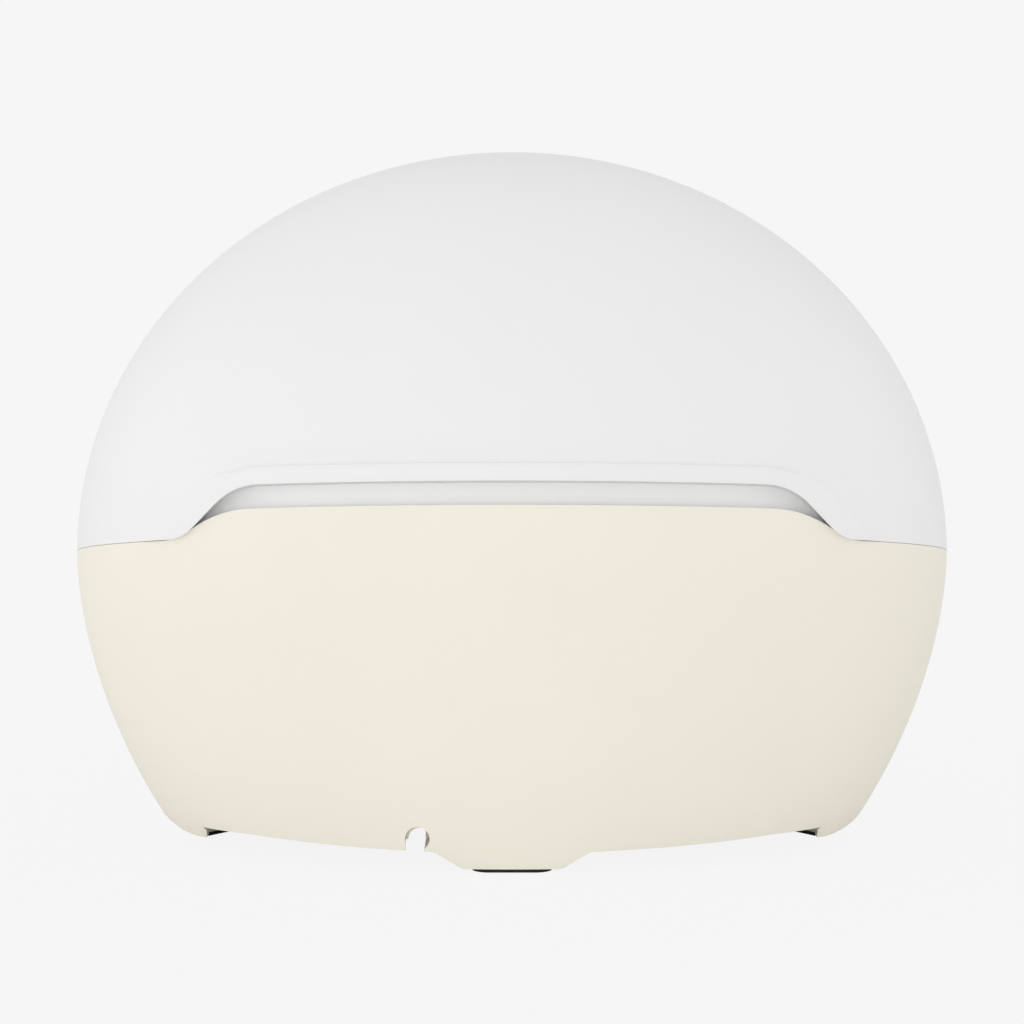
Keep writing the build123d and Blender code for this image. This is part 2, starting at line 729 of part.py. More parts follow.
with BuildPart() as front_grille:
    add(casing_form(grille_front))
    add(casing_form(grille_back), mode=Mode.SUBTRACT)
    with BuildSketch(Plane.XZ):
        with Locations((0, window_middle)):
            SlotOverall(2 * (window_half_width - fit_gap), window_height - 2 * fit_gap)
    extrude(amount=reach, mode=Mode.INTERSECT)
    with BuildPart(mode=Mode.PRIVATE) as grille_rim:
        add(casing_form(case_wall + 0.2))
        add(casing_form(grille_back + 1), mode=Mode.SUBTRACT)
        with BuildSketch(Plane.XZ):
            with Locations((0, window_middle)):
                SlotOverall(2 * (window_half_width + grille_flange), window_height + 2 * grille_flange)
                SlotOverall(2 * (window_half_width - grille_flange), window_height - 2 * grille_flange,
                            mode=Mode.SUBTRACT)
        extrude(amount=reach, mode=Mode.INTERSECT)
    add(grille_rim.part)
    with BuildPart(mode=Mode.PRIVATE) as grille_bosses:
        with BuildSketch(Plane.XZ.offset(-display_board_y)):
            with Locations(display_posts):
                Circle(2.8)
        extrude(amount=reach)
        with BuildSketch(speaker_plane):
            with PolarLocations(clamp_radius, 4, start_angle=45):
                Circle(speaker_boss_radius)
        extrude(amount=reach)
        add(casing_form((grille_front + grille_back) / 2), mode=Mode.INTERSECT)
    add(grille_bosses.part)
    with BuildSketch(Plane.XZ):
        with Locations((0, window_middle)):
            RectangleRounded(display_length + 1, display_height + 1, 1.5)
        for side in (-1, 1):
            with Locations((side * speaker_x, speaker_z)):
                with GridLocations(0, slot_pitch, 1, slot_count):
                    SlotOverall(slot_length, slot_height)
    extrude(amount=reach, mode=Mode.SUBTRACT)
    with BuildSketch(Plane.XZ.offset(-display_board_y)):
        with Locations(display_posts):
            Circle(screw_radius + screw_gap)
    extrude(amount=4, mode=Mode.SUBTRACT)
    with BuildSketch(speaker_plane):
        with PolarLocations(clamp_radius, 4, start_angle=45):
            Circle(screw_radius + screw_gap)
    extrude(amount=2.5, mode=Mode.SUBTRACT)

save(front_grille, "front_grille")

with BuildPart() as front_cloth:
    add(casing_form(cloth_inset))
    add(casing_form(cloth_inset + cloth_thickness), mode=Mode.SUBTRACT)
    with BuildSketch(Plane.XZ):
        with Locations((0, window_middle)):
            SlotOverall(2 * (window_half_width - fit_gap), window_height - 2 * fit_gap)
    extrude(amount=reach, mode=Mode.INTERSECT)

save(front_cloth, "front_cloth")

with BuildPart() as display_block:
    with BuildSketch(Plane.XZ.offset(-display_board_y)):
        with Locations((0, window_middle)):
            Rectangle(display_length, display_height)
    extrude(amount=display_depth - segment_wall)

save(display_block, "display_block")

with BuildPart() as display_board:
    with BuildSketch(Plane.XZ.offset(-display_board_y)):
        with Locations((0, window_middle)):
            RectangleRounded(2 * display_post_x + 7, display_height + 5, 2)
        with Locations(display_posts):
            Circle(screw_radius + 0.2, mode=Mode.SUBTRACT)
    extrude(amount=-board_wall)

save(display_board, "display_board")


def digit(segments):
    """Lit segments of one figure, drawn round the middle of the sketch."""
    half = (digit_height - digit_stroke) / 4
    wide = digit_width - 1.6 * digit_stroke
    tall = 2 * half - 0.6 * digit_stroke
    places = {"top": (0, 2 * half, 0), "middle": (0, 0, 0), "bottom": (0, -2 * half, 0),
              "upper_left": (-1, half, 90), "upper_right": (1, half, 90),
              "lower_left": (-1, -half, 90), "lower_right": (1, -half, 90)}
    for name in segments:
        column, height, turn = places[name]
        with Locations(Location((column * (digit_width - digit_stroke) / 2, height), turn)):
            SlotOverall(tall if turn else wide, digit_stroke)


seven = ["top", "upper_right", "lower_right"]
zero = ["top", "bottom", "upper_left", "upper_right", "lower_left", "lower_right"]
with BuildPart() as display_digits:
    with BuildSketch(Plane.XZ.offset(-(digits_front + segment_wall))):
        for column, figure in ((-1.1, seven), (0.35, zero), (1.45, zero)):
            with Locations((column * digit_pitch, window_middle)):
                digit(figure)
        with Locations((-0.38 * digit_pitch, window_middle)):
            with GridLocations(0, digit_height / 3, 1, 2):
                Circle(digit_stroke / 2)
    extrude(amount=segment_wall)

save(display_digits, "display_digits")

# --- Keys: bar and two round keys, each on its switch plunger ------------------------------------------------
switch_top = switch_height - key_board_drop
plunger_top = switch_top + plunger_rise
flange_top = -deck_wall - 0.1
bar_switches = [(side * bar_switch_x, bar_place[1]) for side in (-1, 1)]


def key(outline, flange_outline, place, stems):
    """A key: crowned cap through the deck, a flange below it and a stem on each switch."""
    with BuildPart() as piece:
        with BuildSketch(deck.offset(flange_top)):
            with Locations(place):
                outline()
        extrude(amount=key_rise - flange_top)
        crown = piece.faces().sort_by(Axis(deck.origin, deck.z_dir))[-1]
        fillet(crown.edges(), key_rise / 2)
        with BuildSketch(deck.offset(flange_top - key_flange_wall)):
            with Locations(place):
                flange_outline()
        extrude(amount=key_flange_wall)
        with BuildSketch(deck.offset(plunger_top)):
            with Locations(stems):
                Circle(plunger_radius)
        extrude(amount=flange_top - key_flange_wall - plunger_top)
    return piece


def plungers(places):
    """Round switch plungers, up to the stems and down into their switches."""
    with BuildPart() as piece:
        with BuildSketch(deck.offset(switch_top - plunger_depth)):
            with Locations(places):
                Circle(plunger_radius)
        extrude(amount=plunger_rise + plunger_depth)
    return piece


save(key(lambda: SlotOverall(bar_length, bar_width),
         lambda: SlotOverall(bar_length + 2 * key_flange, bar_width + 2 * key_flange),
         bar_place, bar_switches), "snooze_bar")
save(plungers(bar_switches), "snooze_plungers")
for name, place in zip(("left", "right"), side_key_places):
    save(key(lambda: Circle(side_key_radius), lambda: Circle(side_key_radius + key_flange),
             place, [place]), f"{name}_key")
    save(plungers([place]), f"{name}_plunger")

with BuildPart() as key_switches:
    with BuildSketch(deck.offset(-key_board_drop)):
        with Locations(bar_switches + side_key_places):
            Rectangle(switch_size, switch_size)
    extrude(amount=switch_height)
    with BuildSketch(deck.offset(switch_top)):
        with Locations(bar_switches + side_key_places):
            Circle(plunger_radius + running_gap)
    extrude(amount=-(plunger_depth + key_travel + 0.2), mode=Mode.SUBTRACT)

save(key_switches, "key_switches")

with BuildPart() as key_board:
    add(casing_form(grille_back + 3))
    add(deck_slab(-key_board_drop - board_wall, -key_board_drop), mode=Mode.INTERSECT)
    with BuildSketch(deck.offset(-key_board_drop - board_wall)):
        with Locations(bar_place):
            Rectangle(2 * (side_key_x + switch_size), 2 * switch_size + 4)
    extrude(amount=board_wall, mode=Mode.INTERSECT)
    with BuildSketch(deck.offset(-key_board_drop - board_wall)):
        with Locations([deck_point(x, y) for x, y in key_posts]):
            Circle(screw_radius + 0.2)
    extrude(amount=board_wall, mode=Mode.SUBTRACT)

save(key_board, "key_board")

# --- Speaker -----------------------------------------------------------------------------------------------
with BuildPart() as speaker_frame:
    with BuildSketch(speaker_section):
        with BuildLine():
            Polyline((speaker_radius, 0), (speaker_radius, -speaker_flange_wall),
                     (speaker_radius - 2.6, -speaker_flange_wall), (basket_neck + 1, -basket_drop),
                     (6, -basket_drop), (6, 1 - basket_drop), (basket_neck, 1 - basket_drop),
                     (speaker_radius - 3.6, -speaker_flange_wall), (speaker_radius - 3, -1),
                     (speaker_radius - 3, 0), close=True)
        make_face()
    revolve(axis=speaker_axis)
    with BuildSketch(speaker_plane.offset(-speaker_flange_wall)):
        with PolarLocations(clamp_radius, 4, start_angle=45):
            Circle(speaker_ear_radius)
        Circle(speaker_radius - 1, mode=Mode.SUBTRACT)
        with PolarLocations(clamp_radius, 4, start_angle=45):
            Circle(screw_radius + 0.2, mode=Mode.SUBTRACT)
    extrude(amount=speaker_flange_wall)

save(speaker_frame, "speaker_frame")

with BuildPart() as speaker_surround:
    with BuildSketch(speaker_section):
        with BuildLine():
            ThreePointArc((cone_radius, -0.6), (cone_radius + surround_width / 2, 0.7),
                          (speaker_radius - 3, -0.6))
            Line((speaker_radius - 3, -0.6), (speaker_radius - 3.5, -0.6))
            ThreePointArc((speaker_radius - 3.5, -0.6), (cone_radius + surround_width / 2, 0.2),
                          (cone_radius + 0.5, -0.6))
            Line((cone_radius + 0.5, -0.6), (cone_radius, -0.6))
        make_face()
    revolve(axis=speaker_axis)

save(speaker_surround, "speaker_surround")

with BuildPart() as speaker_cone:
    with BuildSketch(speaker_section):
        with BuildLine():
            Polyline((cone_radius, -1.3), (5, -6.5), (5, -8), (4, -8), (4, -6.2), (2, -5.4), (0, -5),
                     (0, -4.4), (2, -4.7), (4.6, -5.5), (cone_radius, -0.7), close=True)
        make_face()
    revolve(axis=speaker_axis)

save(speaker_cone, "speaker_cone")

with BuildPart() as speaker_magnet:
    with BuildSketch(speaker_plane.offset(-basket_drop)):
        Circle(magnet_radius)
    extrude(amount=-magnet_wall)

save(speaker_magnet, "speaker_magnet")

with BuildPart() as speaker_gasket:
    with BuildSketch(speaker_plane):
        Circle(speaker_radius - 2.9 + gasket_width)
        Circle(speaker_radius - 2.9, mode=Mode.SUBTRACT)
    extrude(amount=2 * speaker_seat)
    add(casing_form(grille_back + 0.05), mode=Mode.INTERSECT)

save(speaker_gasket, "speaker_gasket")

with BuildPart() as speaker_chamber:
    with BuildSketch(speaker_plane.offset(-speaker_flange_wall)):
        Circle(clamp_radius - screw_head_radius - fit_gap)
    extrude(amount=-chamber_depth)
    with BuildSketch(speaker_plane.offset(-speaker_flange_wall)):
        Circle(clamp_radius - screw_head_radius - fit_gap - chamber_wall)
    extrude(amount=chamber_wall - chamber_depth, mode=Mode.SUBTRACT)

save(speaker_chamber, "speaker_chamber")

# --- Main board ----------------------------------------------------------------------------------------------
board_top = main_board_height + board_wall

with BuildPart() as main_board:
    with BuildSketch(Plane.XY.offset(main_board_height)):
        with Locations((0, main_board_y)):
            RectangleRounded(main_board_length, main_board_width, 3)
        with Locations(board_posts):
            Circle(screw_radius + 0.2, mode=Mode.SUBTRACT)
    extrude(amount=board_wall)

save(main_board, "main_board")

with BuildPart() as power_jack:
    with BuildSketch(Plane.XZ.offset(-jack_mouth)):
        with Locations((cord_x, jack_height_z)):
            Circle(jack_height - jack_axis_drop)
            Rectangle(jack_width, jack_axis_drop, align=(Align.CENTER, Align.MIN))
    extrude(amount=jack_length)
    with BuildSketch(Plane.XZ.offset(-jack_mouth)):
        with Locations((cord_x, jack_height_z)):
            Circle(jack_bore)
    extrude(amount=jack_bore_depth, mode=Mode.SUBTRACT)

save(power_jack, "power_jack")

with BuildPart() as jack_pin:
    with BuildSketch(Plane.XZ.offset(-(jack_mouth - 1))):
        with Locations((cord_x, jack_height_z)):
            Circle(jack_pin_radius)
    extrude(amount=jack_bore_depth - 1)

save(jack_pin, "jack_pin")

with BuildPart() as radio_shield:
    with BuildSketch(Plane.XY.offset(board_top)):
        with Locations((-8, main_board_y + 10)):
            RectangleRounded(18, 16, 1)
    extrude(amount=2.6)

save(radio_shield, "radio_shield")

with BuildPart() as processor:
    with BuildSketch(Plane.XY.offset(board_top)):
        with Locations((-10, main_board_y - 10)):
            Rectangle(12, 12)
    extrude(amount=1.2)

save(processor, "processor")

with BuildPart() as capacitors:
    with BuildSketch(Plane.XY.offset(board_top)):
        with Locations((14, main_board_y + 12), (24, main_board_y + 12), (34, main_board_y + 12)):
            Circle(4)
    extrude(amount=11)

save(capacitors, "capacitors")

with BuildPart() as cell_holder:
    with BuildSketch(Plane.XY.offset(board_top)):
        with Locations((-34, main_board_y - 2)):
            Circle(11.5)
    extrude(amount=4)
    with BuildSketch(Plane.XY.offset(board_top + 0.8)):
        with Locations((-34, main_board_y - 2)):
            Circle(10.2)
    extrude(amount=4, mode=Mode.SUBTRACT)

save(cell_holder, "cell_holder")

with BuildPart() as coin_cell:
    with BuildSketch(Plane.XY.offset(board_top + 0.8)):
        with Locations((-34, main_board_y - 2)):
            Circle(10)
    extrude(amount=3.2)

save(coin_cell, "coin_cell")

# --- Feet ----------------------------------------------------------------------------------------------------
with BuildPart() as rear_foot:
    with BuildSketch():
        with Locations((0, rear_depth * belly_share(0) - 1.2 - rear_foot_width / 2)):
            SlotOverall(rear_foot_length, rear_foot_width)
    extrude(amount=foot_thickness)

save(rear_foot, "rear_foot")

foot_across = half_width * side_share(foot_thickness) - side_foot_inset
foot_out = casing_front_depth * belly_share(foot_thickness) - side_foot_inset
foot_path = [(-foot_across * math.cos(math.radians(turn)), -foot_out * math.sin(math.radians(turn)))
             for turn in (-6, 26, 53)]
with BuildPart() as left_foot:
    with BuildSketch():
        SlotArc(ThreePointArc(*foot_path, mode=Mode.PRIVATE), side_foot_width)
        with BuildLine():
            Polyline(*[(-x, y) for x, y in lug_end_line(-fit_gap)], (-side_lug_start, reach),
                     (-side_lug_wall - fit_gap, reach))
        make_face(mode=Mode.SUBTRACT)
    extrude(amount=foot_thickness)

with BuildPart() as right_foot:
    add(mirror(left_foot.part, about=Plane.YZ))

save(left_foot, "left_foot")
save(right_foot, "right_foot")

# --- Screws ----------------------------------------------------------------------------------------------------
cover_screw_planes = [Plane(origin=(x, y, cover_bottom + cover_wall / 2), z_dir=(0, 0, -1))
                      for x, y in casing_posts]
board_screw_planes = [Plane(origin=(x, y, board_top)) for x, y in board_posts]
dome_screw_planes = [Plane(origin=deck.from_local_coords((*deck_point(x, y), -deck_wall)), z_dir=-deck.z_dir)
                     for x, y in dome_posts]
lamp_screw_planes = [Plane(origin=deck.from_local_coords((*deck_point(x, y), led_level + board_wall)),
                           z_dir=deck.z_dir) for x, y in led_posts]
key_screw_planes = [Plane(origin=deck.from_local_coords((*deck_point(x, y), -key_board_drop - board_wall)),
                          z_dir=-deck.z_dir) for x, y in key_posts]
display_screw_planes = [Plane(origin=(x, display_board_y + board_wall, z), z_dir=(0, 1, 0))
                        for x, z in display_posts]
clamp_turns = [math.radians(45 + 90 * k) for k in range(4)]
speaker_screw_planes = [Plane(origin=speaker_plane.from_local_coords((clamp_radius * math.cos(turn),
                                                                      clamp_radius * math.sin(turn),
                                                                      -speaker_flange_wall)),
                              z_dir=-speaker_plane.z_dir) for turn in clamp_turns]

save(screw_group(cover_screw_planes, 7), "cover_screws")
save(screw_group(board_screw_planes, 8), "main_board_screws")
save(screw_group(dome_screw_planes, 10), "dome_screws")
save(screw_group(lamp_screw_planes, 9), "lamp_screws")
save(screw_group(key_screw_planes, 7), "key_board_screws")
save(screw_group(display_screw_planes, 5), "display_screws")
save(screw_group(speaker_screw_planes, 4), "speaker_screws")
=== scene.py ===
# %% [markdown]
# # A sunrise alarm clock
# The clock has two main mouldings: an opal dome, which glows before the alarm rings, and a cream casing,
# which holds the speaker, the display and the keys. We start from the measured model, which already has
# every piece at its true size. Here each visible moulding gets a smoother surface, softer edges and a
# finish.

import json
import math

import bmesh
import bpy
from mathutils import Matrix, Vector, kdtree
from mathutils.bvhtree import BVHTree


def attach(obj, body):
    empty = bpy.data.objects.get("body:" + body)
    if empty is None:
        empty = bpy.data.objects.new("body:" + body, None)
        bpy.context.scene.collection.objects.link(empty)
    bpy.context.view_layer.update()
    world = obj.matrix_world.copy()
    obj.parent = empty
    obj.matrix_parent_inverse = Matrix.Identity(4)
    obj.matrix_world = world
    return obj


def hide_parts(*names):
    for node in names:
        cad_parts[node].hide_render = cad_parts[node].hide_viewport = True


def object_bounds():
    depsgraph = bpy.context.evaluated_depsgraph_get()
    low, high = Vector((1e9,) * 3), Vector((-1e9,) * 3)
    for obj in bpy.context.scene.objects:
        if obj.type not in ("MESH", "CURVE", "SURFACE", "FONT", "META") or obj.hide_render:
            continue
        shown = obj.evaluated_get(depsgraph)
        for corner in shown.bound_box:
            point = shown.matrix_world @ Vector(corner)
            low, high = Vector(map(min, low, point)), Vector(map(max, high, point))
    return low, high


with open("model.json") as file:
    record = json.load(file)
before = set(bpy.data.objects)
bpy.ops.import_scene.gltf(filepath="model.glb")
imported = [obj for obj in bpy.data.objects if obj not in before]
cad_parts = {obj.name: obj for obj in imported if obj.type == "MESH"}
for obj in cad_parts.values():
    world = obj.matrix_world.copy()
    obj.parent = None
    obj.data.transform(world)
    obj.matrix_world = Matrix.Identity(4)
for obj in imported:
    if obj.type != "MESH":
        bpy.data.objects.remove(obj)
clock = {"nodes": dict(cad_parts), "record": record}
nodes = clock["nodes"]
cad_low, cad_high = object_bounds()
print("pieces loaded:", len(nodes), "size in mm:", [round(1000 * s, 1) for s in cad_high - cad_low])

# %% [markdown]
# ## The two curved forms
# Both mouldings follow half-ovals. The dome is half of an egg: an ellipsoid that is deep at the back and
# shallow at the front. The casing is a stack of level ovals that shrink towards the table. A point can be
# put exactly on either form by scaling it away from the middle, so two short functions are all that a
# smooth surface needs.

# %% Sizes of the forms, in metres
WAIST = 0.068  # height of the widest line
HALF_WIDTH = round(cad_high.x, 4)
CROWN_RISE = round(cad_high.z - WAIST, 4)
SIDE_DROP = 0.1126
SIDE_POWER = 1.745  # a plain ellipse has 2
BELLY_DROP = 0.149
REAR_DEPTH = 0.055
CASING_FRONT = 0.046
DOME_FRONT = 0.026
MIDDLE = Vector((0, (CASING_FRONT - REAR_DEPTH) / 2, WAIST))
TINY = 1e-6  # keeps the crown's root above zero
print("widest oval in mm:", 2000 * HALF_WIDTH, "by", 1000 * (REAR_DEPTH + CASING_FRONT))


# %% How the level ovals shrink
def side_share(height):
    """Part of its full width that a level oval keeps at a height."""
    if height > WAIST:
        return math.sqrt(max(TINY, 1 - ((height - WAIST) / CROWN_RISE) ** 2))
    return math.sqrt(1 - ((WAIST - height) / SIDE_DROP) ** SIDE_POWER)


def belly_share(height):
    """Part of its full depth that a level oval keeps at a height."""
    if height > WAIST:
        return side_share(height)
    return math.sqrt(1 - ((WAIST - height) / BELLY_DROP) ** 2)


print("width kept at the table:", round(side_share(0), 3), "depth kept:", round(belly_share(0), 3))


# %% Put a point on a form
def on_dome(point, inset):
    """The point moved onto the dome's form, with the surface set in."""
    arm = point - MIDDLE
    depth = (REAR_DEPTH if arm.y > 0 else DOME_FRONT) - inset
    rise = (CROWN_RISE if arm.z > 0 else SIDE_DROP) - inset
    ratio = Vector((arm.x / (HALF_WIDTH - inset), arm.y / depth, arm.z / rise)).length
    return MIDDLE + arm / ratio


def on_casing(point, inset):
    """The point moved level onto the casing's form, with the surface set in."""
    arm = point - MIDDLE
    across = HALF_WIDTH * side_share(point.z) - inset
    depth = (REAR_DEPTH if arm.y > 0 else CASING_FRONT) * belly_share(point.z) - inset
    ratio = math.hypot(arm.x / across, arm.y / depth)
    return Vector((arm.x / ratio, MIDDLE.y + arm.y / ratio, point.z))


crown = on_dome(MIDDLE + Vector((0, 0, 1)), 0)
print("crown of the dome in mm:", round(1000 * crown.z, 1))

# %% [markdown]
# ## Smooth copies
# The measured pieces are made of loose triangles, which show as flat facets under soft light. A smooth
# copy gets its triangles joined first. Then the faces that lie on a curved form are divided until they
# are small, and each of their corners is put exactly on the form. The dome's outside, its raised lip and
# the floor of the hollow at its back are all the same form, only set in by different amounts.

# %% Join the loose triangles
SAME_PLACE = 0.000002


def merged(node):
    """A bmesh copy of a measured piece, with its loose triangles joined."""
    bm = bmesh.new()
    bm.from_mesh(nodes[node].data)
    bmesh.ops.remove_doubles(bm, verts=bm.verts, dist=SAME_PLACE)
    return bm


dome_mesh = merged("dome_shell")
casing_mesh = merged("casing")
print("corners of dome and casing:", len(dome_mesh.verts), len(casing_mesh.verts))

# %% Name the surfaces of a moulding
LIP_HEIGHT = 0.0014
MARKS = {"lip": 1, "outside": 2, "hollow": 3, "inside": 4}
# each surface with its inset and the greatest distance between its corners
DOME_SURFACES = {"lip": (-LIP_HEIGHT, 0.001), "outside": (0, 0.0016), "hollow": (0.0045, 0.002),
                 "inside": (0.0022, 0.006)}
CASING_SURFACES = {"outside": (0, 0.0025), "inside": (0.0024, 0.006)}
print("surfaces to settle:", len(DOME_SURFACES) + len(CASING_SURFACES))

# %% Divide and settle
ON_FORM = 0.0005  # the corners of a face lie this near to its form
FACING = 0.5  # least agreement between a face's direction and its form's
PROBE = 0.001  # step in or out by which a form's direction is found
DIVISIONS = 8


def marks_around(v, layer):
    """The marks of the faces round a corner."""
    return {f[layer] for f in v.link_faces}


def divide(bm, edges):
    """Halves some edges, and cuts the faces beside them into triangles again."""
    bmesh.ops.subdivide_edges(bm, edges=edges, cuts=1)
    bmesh.ops.triangulate(bm, faces=[f for f in bm.faces if len(f.verts) > 3])


def settle(bm, form, surfaces):
    """Marks the faces that lie on a form, divides them and puts their corners exactly on it."""
    inset_of = {MARKS[name]: inset for name, (inset, spacing) in surfaces.items()}
    spacing_of = {MARKS[name]: spacing for name, (inset, spacing) in surfaces.items()}
    layer = bm.faces.layers.int.new("surface")
    bm.normal_update()
    for face in bm.faces:
        middle = face.calc_center_median()
        outward = (form(middle, -PROBE) - form(middle, PROBE)).normalized()
        if abs(outward.dot(face.normal)) > FACING:
            for mark, inset in inset_of.items():
                if all((form(v.co, inset) - v.co).length < ON_FORM for v in face.verts):
                    face[layer] = mark
    for _ in range(DIVISIONS):
        long_edges = [e for e in bm.edges if any(
            f[layer] and e.calc_length() > spacing_of[f[layer]] for f in e.link_faces)]
        if not long_edges:
            break
        divide(bm, long_edges)
    for v in bm.verts:
        marks = marks_around(v, layer) - {0}
        if len(marks) == 1:
            v.co = form(v.co, inset_of[marks.pop()])


settle(dome_mesh, on_dome, DOME_SURFACES)
settle(casing_mesh, on_casing, CASING_SURFACES)
print("corners after settling:", len(dome_mesh.verts), len(casing_mesh.verts))

# %% [markdown]
# ## The lip of the dome
# A raised lip runs round the hollow at the back. On a real moulding nothing is dead sharp: the dome
# swells a little towards the lip, so that the lip's foot is a soft hollow, and the lip's own border is
# rounded. A bevel would need clean loops of edges, and the lip has none, so both are made by moving
# corners by their distance from the border. The floor of the hollow is marked, so that painted light can
# make it a little paler there and lift the shade that falls into the hollow.

# %% Swell towards the lip
SWELL = 0.0009
SWELL_WIDTH = 0.006
SWELL_SPACING = 0.0012
SWELL_MARGIN = 0.002  # how far the fine division goes beyond the swell
SWELL_DIVISIONS = 3
BELOW_FORM = -0.0001


def nearest_of(verts):
    """A search tree that finds the nearest of some corners."""
    tree = kdtree.KDTree(len(verts))
    for k, v in enumerate(verts):
        tree.insert(v.co, k)
    tree.balance()
    return tree


def swell_to_lip(bm):
    """Lets the dome's outside rise gently towards the lip."""
    layer = bm.faces.layers.int["surface"]
    tree = nearest_of([v for v in bm.verts if marks_around(v, layer) >= {MARKS["lip"], 0}])
    for _ in range(SWELL_DIVISIONS):
        divide(bm, [e for e in bm.edges if e.calc_length() > SWELL_SPACING
                    and any(f[layer] == MARKS["outside"] for f in e.link_faces)
                    and tree.find(e.verts[0].co)[2] < SWELL_WIDTH + SWELL_MARGIN])
    moved = 0
    for v in bm.verts:
        gap = tree.find(v.co)[2]
        if gap > SWELL_WIDTH or MARKS["lip"] in marks_around(v, layer):
            continue
        ground = on_dome(v.co, 0)
        arm = on_dome(v.co, -PROBE) - ground
        height = (v.co - ground).dot(arm) / arm.length_squared * PROBE
        if BELOW_FORM < height < LIP_HEIGHT:
            share = min(1.0, (SWELL_WIDTH - gap) / (SWELL_WIDTH - LIP_HEIGHT)) ** 2
            v.co = on_dome(v.co, -(height + SWELL * share * (1 - height / LIP_HEIGHT)))
            moved += 1
    return moved


print("corners moved for the swell:", swell_to_lip(dome_mesh))

# %% Round the border of the lip
ROUND_WIDTH = 0.0018
ROUND_DROP = 0.00025


def round_lip(bm):
    """Lets the border of the lip sink a little."""
    layer = bm.faces.layers.int["surface"]
    lip = [v for v in bm.verts if MARKS["lip"] in marks_around(v, layer)]
    tree = nearest_of([v for v in lip if len(marks_around(v, layer)) > 1])
    for v in lip:
        sink = ROUND_DROP * max(0.0, 1 - tree.find(v.co)[2] / ROUND_WIDTH) ** 2
        v.co += on_dome(v.co, sink - LIP_HEIGHT) - on_dome(v.co, -LIP_HEIGHT)
    return len(lip)


print("corners on the lip:", round_lip(dome_mesh))

# %% Mark where painted light goes on the floor of the hollow
surface = dome_mesh.faces.layers.int["surface"]
# the mark is 1 where painted light lifts the shade on the hollow's floor
hollow = dome_mesh.verts.layers.float.new("hollow")
for v in dome_mesh.verts:
    v[hollow] = float(MARKS["hollow"] in marks_around(v, surface))
print("corners on the hollow's floor:", sum(v[hollow] > 0 for v in dome_mesh.verts))

# %% [markdown]
# ## Heels of the casing
# The casing stands on two long lugs, one below each side, and the measured casing runs straight down its
# outside to them. A moulding would sweep up there in a soft curve, with the lug set in below it. A cut
# would leave thin slivers at the lugs, so the low outer edge of the smooth copy is divided finely and
# lifted onto that curve instead. The outer wall slides up on its own form and keeps its shape. The curve
# is measured across the clock, from the middle outwards.

# %% The swept curve
HEEL_REAR = 0.07395  # where the lift starts behind the lug
HEEL_LUG = 0.0755  # where it starts beside the lug
LUG_END = -0.0015
LUG_BOTTOM = 0.001
REAR_BLEND = 0.003
SIDE_BLEND = 0.0025
SWEEP_START = 0.0722
SWEEP_BOTTOM = 0.00375
SWEEP_SLOPE = -0.0519
SWEEP_BEND = 27.75  # per metre


def heel_height(side):
    """Height of the swept lower edge at a distance from the middle."""
    run = side - SWEEP_START
    return SWEEP_BOTTOM + SWEEP_SLOPE * run + SWEEP_BEND * run * run


def soft_step(value):
    """0 before the start, 1 after the end, and a smooth rise between."""
    part = min(1.0, max(0.0, value))
    return part * part * (3 - 2 * part)


def heel_share(place):
    """How much of the lift a place gets."""
    behind = soft_step((place.y - LUG_END) / REAR_BLEND) if abs(place.x) > HEEL_REAR else 0.0
    return max(behind, soft_step((abs(place.x) - HEEL_LUG) / SIDE_BLEND))


print("height of the sweep at 90 mm in mm:", round(1000 * heel_height(0.09), 2))

# %% Divide the low outer edge
HEEL_SIDE = 0.068  # the low outer edge lies beyond this distance from the middle
HEEL_TOP = 0.0125  # and below this height
HEEL_SPACING = 0.0015
HEEL_DIVISIONS = 5


def heel_edges(bm):
    """The edges of the low outer edge, on both sides."""
    return [e for e in bm.edges if all(abs(v.co.x) > HEEL_SIDE and v.co.z < HEEL_TOP for v in e.verts)]


for _ in range(HEEL_DIVISIONS):
    near = [e for e in heel_edges(casing_mesh) if e.calc_length() > HEEL_SPACING]
    if not near:
        break
    divide(casing_mesh, near)
print("edges in the two heels:", len(heel_edges(casing_mesh)))

# %% Lift it onto the curve
SKIRT_INNER, SKIRT_OUTER = 0.0719, 0.0725  # the upright end of the rear skirt lies between these
SKIRT_TOP = 0.0064
SKIRT_START = 0.010
SKIRT_SHIFT = 0.0007
ON_WALL = 0.0003
SLIDES = 8  # rounds in which a corner's height and place settle
SLIVER = 0.00002


def slide_up(start):
    """Where a corner of the outer wall goes when it slides up to the curve."""
    place = start
    for _ in range(SLIDES):
        bottom = LUG_BOTTOM + (heel_height(abs(place.x)) - LUG_BOTTOM) * heel_share(place)
        if start.z >= bottom:
            return start
        place = on_casing(Vector((start.x, start.y, bottom)), 0)
    return place


def on_skirt_end(place):
    """Whether a place lies on the upright end of the rear skirt, which goes in behind the lifted edge."""
    return SKIRT_INNER < abs(place.x) < SKIRT_OUTER and place.z < SKIRT_TOP and place.y > SKIRT_START


surface = casing_mesh.faces.layers.int["surface"]
for v in casing_mesh.verts:
    start = v.co.copy()
    if on_skirt_end(start):
        v.co.x -= math.copysign(SKIRT_SHIFT, start.x)
    elif MARKS["outside"] in marks_around(v, surface) or (on_casing(start, 0) - start).length < ON_WALL:
        v.co = slide_up(start)
    else:
        v.co.z += max(0.0, heel_height(abs(start.x)) - start.z) * heel_share(start)
bmesh.ops.dissolve_degenerate(casing_mesh, dist=SLIVER, edges=heel_edges(casing_mesh))
print("corners of the casing:", len(casing_mesh.verts))

# %% [markdown]
# ## Finishes
# Every finish starts from the Principled shader, because it exports well. Moulded plastic is never quite
# even: its roughness drifts a little where the mould was polished less, and a fine grain breaks up its
# highlights. Both come from noise in Object coordinates, so that they stay fixed to the piece.

